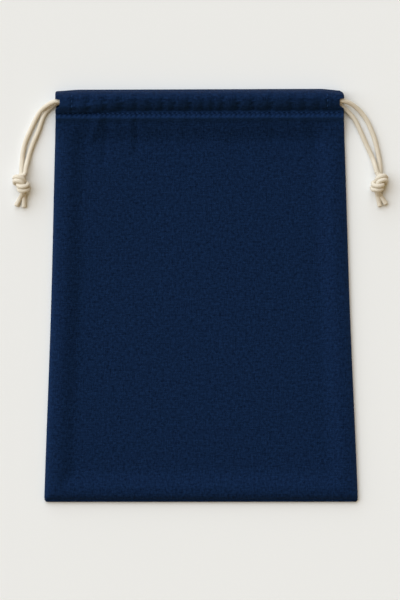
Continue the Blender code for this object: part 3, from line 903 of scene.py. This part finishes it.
def painted_light_at(level, across, depth, kind):
    """How much lighter the cloth is painted, as painted highlight on the hem's ridge, along the side
    edges and over the casing, and how much darker, as painted shade at the needle's holes.
    """
    if level is BACK or kind not in ("casing", "body"):
        return 0
    edge = math.exp(-max(half_width(depth) - abs(across), 0) / EDGE_HIGHLIGHT_REACH)
    above_seam = 1 - smoothstep((depth - CASING_SEAM) / CLOTH)
    casing = smoothstep((depth - CASING_CROWN) / CORD_RADIUS) * above_seam
    ridge = hump(depth - RIDGE_DEPTH, RIDGE_REACH)
    hole = 0.5 + 0.5 * math.cos(math.tau * across / PITCH)
    holes = hump(depth - CASING_SEAM, GROOVE_REACH) * hole
    return ridge + EDGE_HIGHLIGHT_SHARE * edge + CASING_HIGHLIGHT * casing - HOLE_PAINTED_SHADE * holes


def make_panel(name, level):
    rows = section_rows(level)
    facing = 1 if level is FRONT else -1
    bm = bmesh.new()
    bmesh.ops.create_grid(bm, x_segments=COLUMNS, y_segments=len(rows) - 1, size=0.5)
    # painted highlights and painted shade, kept at each point for the cloth's colour
    painted_light = bm.verts.layers.float.new("painted_light")
    where = {}
    run = 0.0
    before = None
    sides = {-1: set(), 1: set()}
    row_of = [[] for _ in rows]
    for v in bm.verts:
        row_of[round((v.co.y + 0.5) * (len(rows) - 1))].append(v)
    for verts, (depth, height, half, kind) in zip(row_of, rows):
        verts.sort(key=lambda v: v.co.x)
        for column, v in enumerate(verts):
            v.co = drape(level, depth, height, half, kind, 2 * column / COLUMNS - 1)
            v[painted_light] = painted_light_at(level, v.co.x, depth, kind)
        middle = verts[COLUMNS // 2].co.copy()
        run += (middle - before).length if before else 0
        before = middle
        for v in verts:
            where[v] = (v.co.x, run)
        if kind == "body":
            sides[-1].add(verts[0])
            sides[1].add(verts[-1])
    for side, verts in sides.items():
        edges = [e for e in bm.edges if set(e.verts) <= verts]
        angles = [math.pi * i / SIDE_FOLD_STEPS for i in range(SIDE_FOLD_STEPS + 1)]
        path = [(FOLD_RADIUS * math.sin(a), FOLD_RADIUS * (1 - math.cos(a))) for a in angles]
        path.append((FOLD_RADIUS - SEAM_ALLOWANCE / 2, 2 * FOLD_RADIUS))
        path.append((FOLD_RADIUS - SEAM_ALLOWANCE, 2 * FOLD_RADIUS))
        for (x0, z0), (x1, z1) in zip(path, path[1:]):
            made = bmesh.ops.extrude_edge_only(bm, edges=edges)["geom"]
            moved = [g for g in made if isinstance(g, bmesh.types.BMVert)]
            bmesh.ops.translate(bm, verts=moved, vec=(side * (x1 - x0), 0, -facing * (z1 - z0)))
            edges = [g for g in made if isinstance(g, bmesh.types.BMEdge)]
    bmesh.ops.recalc_face_normals(bm, faces=bm.faces)
    layer = bm.loops.layers.uv.new("cloth")
    for face in bm.faces:
        for loop in face.loops:
            loop[layer].uv = where.get(loop.vert, (loop.vert.co.x, POUCH_LENGTH / 2 - loop.vert.co.y))
    mesh = bpy.data.meshes.new(name)
    bm.to_mesh(mesh)
    bm.free()
    mesh.shade_smooth()
    mesh.materials.append(CLOTH_FINISH)
    panel = add_object(name, mesh)
    thickness = panel.modifiers.new("cloth", "SOLIDIFY")
    thickness.thickness = CLOTH
    thickness.offset = 0
    thickness.use_even_offset = True
    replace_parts(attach(panel, "root"), f"{name.split('_')[0]}_panel")


# how far the painted highlights and painted shade move the cloth's colour
PAINTED_LIGHT_SHARE = 0.62
NAVY_LIGHT = (0.0045, 0.0144, 0.0440, 1)
NAVY_DARK = (0.0000, 0.0004, 0.0040, 1)
NAVY_SHINE = (0.10, 0.30, 0.84, 1)
SHEEN, SHEEN_TINT = 0.015, (0.25, 0.50, 1.0, 1)
SLUBS, MOTTLE = (1400, 260), 600  # in a metre, across and along the thread
SHADE_CONTRAST, SHADE_MIDDLE = 2.6, 0.53
WEAVE = 0.00045  # from one thread to the next


def navy_cotton():
    """Navy cotton in a plain weave, dyed in the piece: slubs both ways and a fine mottle, and painted
    highlights and painted shade from its panel.
    """
    shader = Shader("navy_cotton")
    place, across, along = uv_of(shader, "cloth")
    warp = shader.speckle(stretched(shader, place, *SLUBS), 1.0, 2)
    weft = shader.speckle(stretched(shader, place, *SLUBS[::-1]), 1.0, 2)
    mottle = shader.speckle(place, MOTTLE, 3)
    cloth_tone_and_painted_light = (warp * 0.4 + weft * 0.4 + mottle * 0.7 - 0.75) * SHADE_CONTRAST + SHADE_MIDDLE
    # Painted light: painted highlights on the ridge, edges and casing, and painted shade at the needle's
    # holes, added to the cloth's tone
    painted_light = shader.node("ShaderNodeAttribute", {"attribute_name": "painted_light"}, {}, out=2)
    cloth_tone_and_painted_light = cloth_tone_and_painted_light + painted_light * PAINTED_LIGHT_SHARE
    weave = (across / WEAVE).wave() * (along / WEAVE).wave()
    shader.fill(
        shader.surface,
        {
            "Base Color": shader.blend(cloth_tone_and_painted_light.clamped(), NAVY_DARK, NAVY_LIGHT),
            "Roughness": 0.74,
            "Specular IOR Level": 0.5,
            "Specular Tint": NAVY_SHINE,
            "Sheen Weight": SHEEN,
            "Sheen Roughness": 0.5,
            "Sheen Tint": SHEEN_TINT,
            "Normal": shader.bump(weave * 0.25 + warp * 0.8 + weft * 0.8, 0.00035),
        },
    )
    return shader.material


CLOTH_FINISH = navy_cotton()
make_panel("back_cloth", BACK)
make_panel("front_cloth", FRONT)

# Stitches: navy thread, sewn in a straight stitch from the front: one row right across, which closes
# the casing, and a short one down each end of it, where the cloth is turned in for the cords' way out.
STITCH_LENGTH, THREAD = 0.0024, 0.00050
STITCH_SUNK = {1: -0.00010, -1: 0.00016}  # in the front and in the back
THREAD_TWIST = 0.0005
END_STITCHES, END_STITCH_TOP = 3, 0.0045  # down each end of the casing
# Thread colours, both lighter than the cloth as painted glint: painted shade and painted highlight on the
# two sides of each turn of its twist
THREAD_TWIST_SHADE = (0.0080, 0.0230, 0.0640, 1)
THREAD_GLINT = (0.0220, 0.0600, 0.1500, 1)


def navy_thread():
    """Navy sewing thread with its twist, a little brighter than the cloth as painted glint, with painted
    shade and painted highlight on the two sides of each turn.
    """
    shader = Shader("navy_thread")
    place = shader.node("ShaderNodeTexCoord", {}, {}, out=3)
    x = shader.node("ShaderNodeSeparateXYZ", {}, {0: place}, out=0)
    y = shader.node("ShaderNodeSeparateXYZ", {}, {0: place}, out=1)
    twist = ((x + y) / THREAD_TWIST).wave()
    shader.fill(
        shader.surface,
        {
            "Base Color": shader.blend(twist, THREAD_TWIST_SHADE, THREAD_GLINT),
            "Roughness": 0.5,
            "Specular Tint": NAVY_SHINE,
            "Normal": shader.bump(twist, 0.00008),
        },
    )
    return shader.material


def surface_at(level, across, depth):
    half = half_width(depth)
    return drape(level, depth, None, half, "casing", across / half)


def make_stitches(name, level):
    facing = 1 if level is FRONT else -1
    bm = bmesh.new()
    row = [((i + 0.5 - STITCHES / 2) * PITCH, CASING_SEAM, 0) for i in range(1, STITCHES - 1)]
    down = [END_STITCH_TOP + i * PITCH for i in range(END_STITCHES)] if level is FRONT else []
    row += [(side * END_HEM, depth, math.pi / 2) for side in (-1, 1) for depth in down]
    for across, depth, turn in row:
        at = surface_at(level, across, depth)
        at.z += facing * (CLOTH / 2 - STITCH_SUNK[facing])
        size = Matrix.Diagonal((STITCH_LENGTH / 2, THREAD / 2, THREAD / 2, 1))
        place = Matrix.Translation(at) @ Matrix.Rotation(turn, 4, "Z") @ size
        bmesh.ops.create_uvsphere(bm, u_segments=6, v_segments=5, radius=1, matrix=place)
    mesh = bpy.data.meshes.new(name)
    bm.to_mesh(mesh)
    bm.free()
    mesh.shade_smooth()
    mesh.materials.append(THREAD_FINISH)
    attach(add_object(name, mesh), "root")


THREAD_FINISH = navy_thread()
make_stitches("front_stitches", FRONT)
make_stitches("back_stitches", BACK)

# Table and light: a plain pale table top, and one large soft light beyond the mouth and to its left.
FLOOR = (0.823, 0.815, 0.783, 1)
TABLE_REACH, TABLE_LEVEL = 3, -0.0001  # just under the pouch, clear of its back stitches
bm = bmesh.new()
bmesh.ops.create_grid(bm, x_segments=1, y_segments=1, size=TABLE_REACH)
bmesh.ops.translate(bm, verts=bm.verts, vec=(0, 0, TABLE_LEVEL))
table_mesh = bpy.data.meshes.new("table")
bm.to_mesh(table_mesh)
bm.free()
table = add_object("table", table_mesh)
table_top = Shader("table_top")
table_top.fill(table_top.surface, {"Base Color": FLOOR, "Roughness": 0.8, "Specular IOR Level": 0.1})
table_mesh.materials.append(table_top.material)

SKY_SHARE, KEY_SHARE = 0.25, 0.75  # of the light on the table
SKY_TINT, KEY_TINT = (1.25, 0.86, 0.30, 1), (0.918, 1.047, 1.230)
KEY_ELEVATION, KEY_AZIMUTH = math.radians(39), math.radians(43)  # azimuth from +Y towards -X
KEY_ANGLE = 95
world = bpy.data.worlds.new("world")
bpy.context.scene.world = world
world.use_nodes = True
world.node_tree.nodes["Background"].inputs["Color"].default_value = SKY_TINT
world.node_tree.nodes["Background"].inputs["Strength"].default_value = SKY_SHARE
key = add_object("key_light", bpy.data.lights.new("key_light", "SUN"))
key.data.energy = KEY_SHARE * math.pi / math.sin(KEY_ELEVATION)
key.data.color = KEY_TINT
key.data.angle = math.radians(KEY_ANGLE)
flat_reach = math.cos(KEY_ELEVATION)
towards = Vector(
    (-flat_reach * math.sin(KEY_AZIMUTH), flat_reach * math.cos(KEY_AZIMUTH), math.sin(KEY_ELEVATION))
)
key.rotation_euler = towards.to_track_quat("Z", "Y").to_euler()
